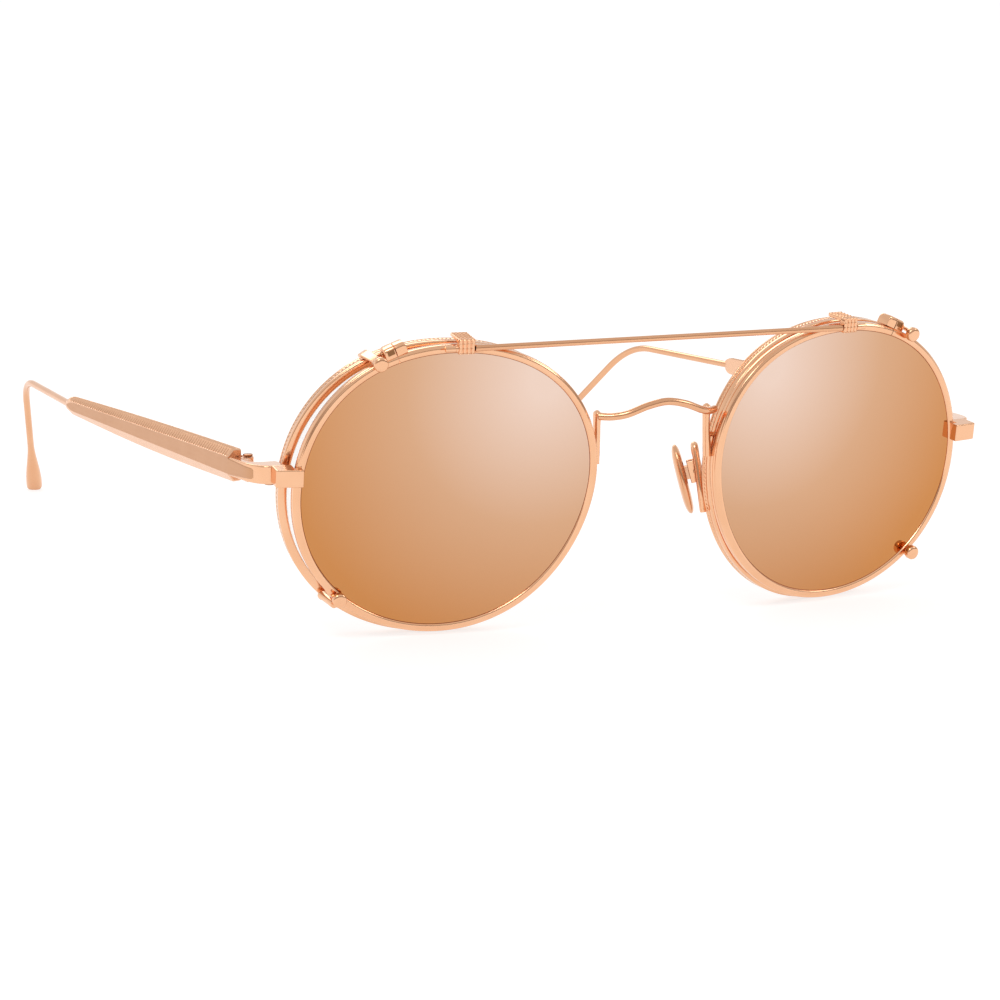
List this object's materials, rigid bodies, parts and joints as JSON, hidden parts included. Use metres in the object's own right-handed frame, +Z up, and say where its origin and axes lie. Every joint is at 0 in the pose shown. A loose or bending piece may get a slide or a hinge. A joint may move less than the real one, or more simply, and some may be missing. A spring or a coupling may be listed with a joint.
{
  "type": "clip on sunglasses",
  "caption": "Round thin metal spectacles with a clip-on front of mirrored sun lenses held by claws, a straight top bar and folding temples.",
  "frame": {"origin": "centre of the bounding box at the level of the surface that the rims and temple tips stand on", "axes": "+X towards the wearer's left, +Y from the lenses back to the ear tips, +Z up"},
  "size_m": [0.1306, 0.1508, 0.0482],
  "materials": {
    "polished_rose_gold": "polished",
    "satin_rose_gold": "satin",
    "screw_metal": "polished",
    "mirror_tint": "mirrored",
    "demo_lens": "clear"
  },
  "bodies": {
    "front": {"base_rim_left": "polished_rose_gold", "base_rim_right": "polished_rose_gold", "clear_lens_left": "demo_lens", "clear_lens_right": "demo_lens", "end_piece_left": "polished_rose_gold", "end_piece_right": "polished_rose_gold", "end_screw_left": "screw_metal", "end_screw_right": "screw_metal", "front_leaf_left": "satin_rose_gold", "front_leaf_right": "satin_rose_gold", "hinge_pin_left": "screw_metal", "hinge_pin_right": "screw_metal", "bridge_post_left": "polished_rose_gold", "bridge_post_right": "polished_rose_gold", "pad_arm_left": "polished_rose_gold", "pad_arm_right": "polished_rose_gold", "pad_box_left": "satin_rose_gold", "pad_box_right": "satin_rose_gold", "pad_screw_left": "screw_metal", "pad_screw_right": "screw_metal", "bridge": "polished_rose_gold"},
    "temple_left": {"temple_leaf_left": "satin_rose_gold", "temple_bar_left": "satin_rose_gold", "temple_wire_left": "polished_rose_gold"},
    "temple_right": {"temple_leaf_right": "satin_rose_gold", "temple_bar_right": "satin_rose_gold", "temple_wire_right": "polished_rose_gold"},
    "pad_left": {"nose_pad_left": "polished_rose_gold"},
    "pad_right": {"nose_pad_right": "polished_rose_gold"},
    "clip_on": {"clip_rim_left": "polished_rose_gold", "clip_rim_right": "polished_rose_gold", "mirror_lens_left": "mirror_tint", "mirror_lens_right": "mirror_tint", "bar_stub_left": "polished_rose_gold", "bar_stub_right": "polished_rose_gold", "hook_left": "satin_rose_gold", "hook_right": "satin_rose_gold", "upper_claw_left": "polished_rose_gold", "upper_claw_right": "polished_rose_gold", "lower_claw_left": "polished_rose_gold", "lower_claw_right": "polished_rose_gold", "lug_left": "polished_rose_gold", "lug_right": "polished_rose_gold", "lock_inner_left": "polished_rose_gold", "lock_inner_right": "polished_rose_gold", "lock_outer_left": "polished_rose_gold", "lock_outer_right": "polished_rose_gold", "lock_screw_left": "screw_metal", "lock_screw_right": "screw_metal", "top_bar": "polished_rose_gold"}
  },
  "joints": [
    {"name": "fold_left", "type": "hinge", "parent": "front", "child": "temple_left", "pos_m": [0.062, -0.05344, 0.02624], "axis": [0, 0.0208, 0.9998], "range_deg": [0, 88]},
    {"name": "fold_right", "type": "hinge", "parent": "front", "child": "temple_right", "pos_m": [-0.062, -0.05344, 0.02624], "axis": [0, -0.0208, -0.9998], "range_deg": [0, 83.5]},
    {"name": "pad_rock_left", "type": "hinge", "parent": "front", "child": "pad_left", "pos_m": [0.01213, -0.06281, 0.02261], "axis": [0.4384, 0.8986, -0.0187], "range_deg": [-8, 8]},
    {"name": "pad_rock_right", "type": "hinge", "parent": "front", "child": "pad_right", "pos_m": [-0.01213, -0.06281, 0.02261], "axis": [-0.4384, 0.8986, -0.0187], "range_deg": [-8, 8]},
    {"name": "clip_off", "type": "slide", "parent": "front", "child": "clip_on", "axis": [0, -0.9936, -0.1134], "range_m": [0, 0.03]}
  ]
}
